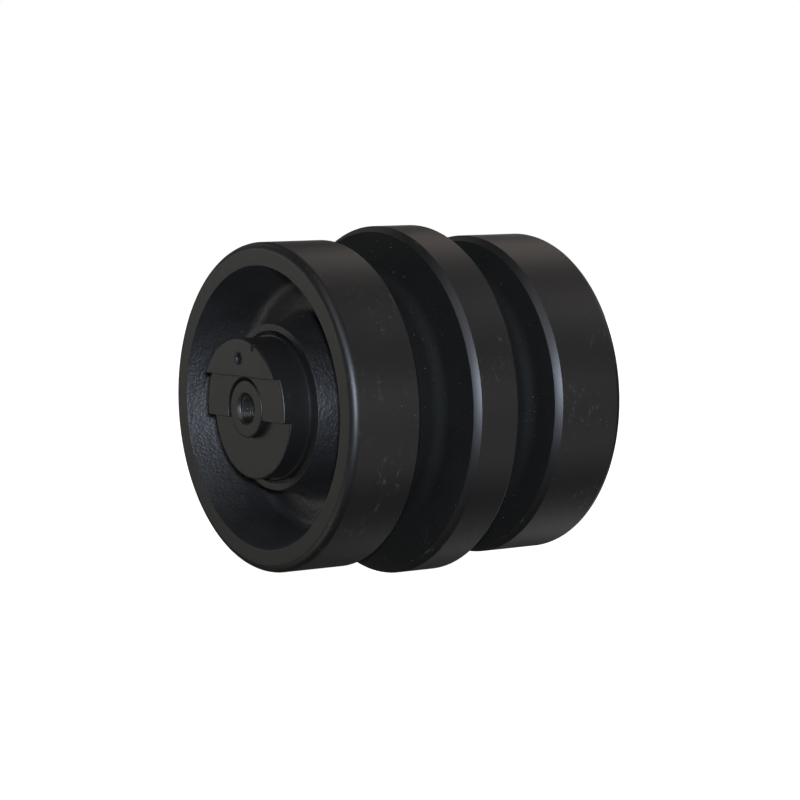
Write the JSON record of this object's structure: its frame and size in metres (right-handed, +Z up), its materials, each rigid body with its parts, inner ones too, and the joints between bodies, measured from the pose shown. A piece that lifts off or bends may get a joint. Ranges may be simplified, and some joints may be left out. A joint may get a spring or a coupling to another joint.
{
  "type": "track roller",
  "caption": "Flanged track roller on a fixed oil-filled shaft, with stepped end collars that seat in a crawler track frame.",
  "frame": {"origin": "centre of the roller, on its axle, half way between the two end collars", "axes": "+Y along the axle, +Z up with the collars' raised segments on top, +X level and square to the axle"},
  "size_m": [0.258, 0.2768, 0.258],
  "materials": {
    "cast_shell": "black paint over cast and turned iron, satin treads and rough cast cups",
    "painted_collar": "black paint over machined steel, satin",
    "shaft_steel": "black paint on the ends, ground steel inside",
    "bronze": "bronze-lined steel, turned",
    "seal_iron": "lapped hard iron",
    "seal_rubber": "matt nitrile rubber",
    "dark_steel": "blackened steel"
  },
  "bodies": {
    "shaft_assembly": {"shaft": "shaft_steel", "left_end_collar": "painted_collar", "right_end_collar": "painted_collar", "left_standing_seal_ring": "seal_iron", "right_standing_seal_ring": "seal_iron", "left_standing_toric_ring": "seal_rubber", "right_standing_toric_ring": "seal_rubber", "left_shaft_oring": "seal_rubber", "right_shaft_oring": "seal_rubber", "left_lock_pin": "dark_steel", "right_lock_pin": "dark_steel", "left_collar_screw": "dark_steel", "right_collar_screw": "dark_steel", "left_oil_plug": "dark_steel", "right_oil_plug": "dark_steel", "left_thrust_ring": "bronze", "right_thrust_ring": "bronze"},
    "roller_assembly": {"roller_shell": "cast_shell", "left_flanged_bush": "bronze", "right_flanged_bush": "bronze", "left_bush_dowel": "dark_steel", "right_bush_dowel": "dark_steel", "left_turning_seal_ring": "seal_iron", "right_turning_seal_ring": "seal_iron", "left_turning_toric_ring": "seal_rubber", "right_turning_toric_ring": "seal_rubber"}
  },
  "joints": [
    {"name": "roller_spin", "type": "hinge", "parent": "shaft_assembly", "child": "roller_assembly", "pos_m": [0, 0, 0], "axis": [0, 1, 0], "continuous": true}
  ]
}
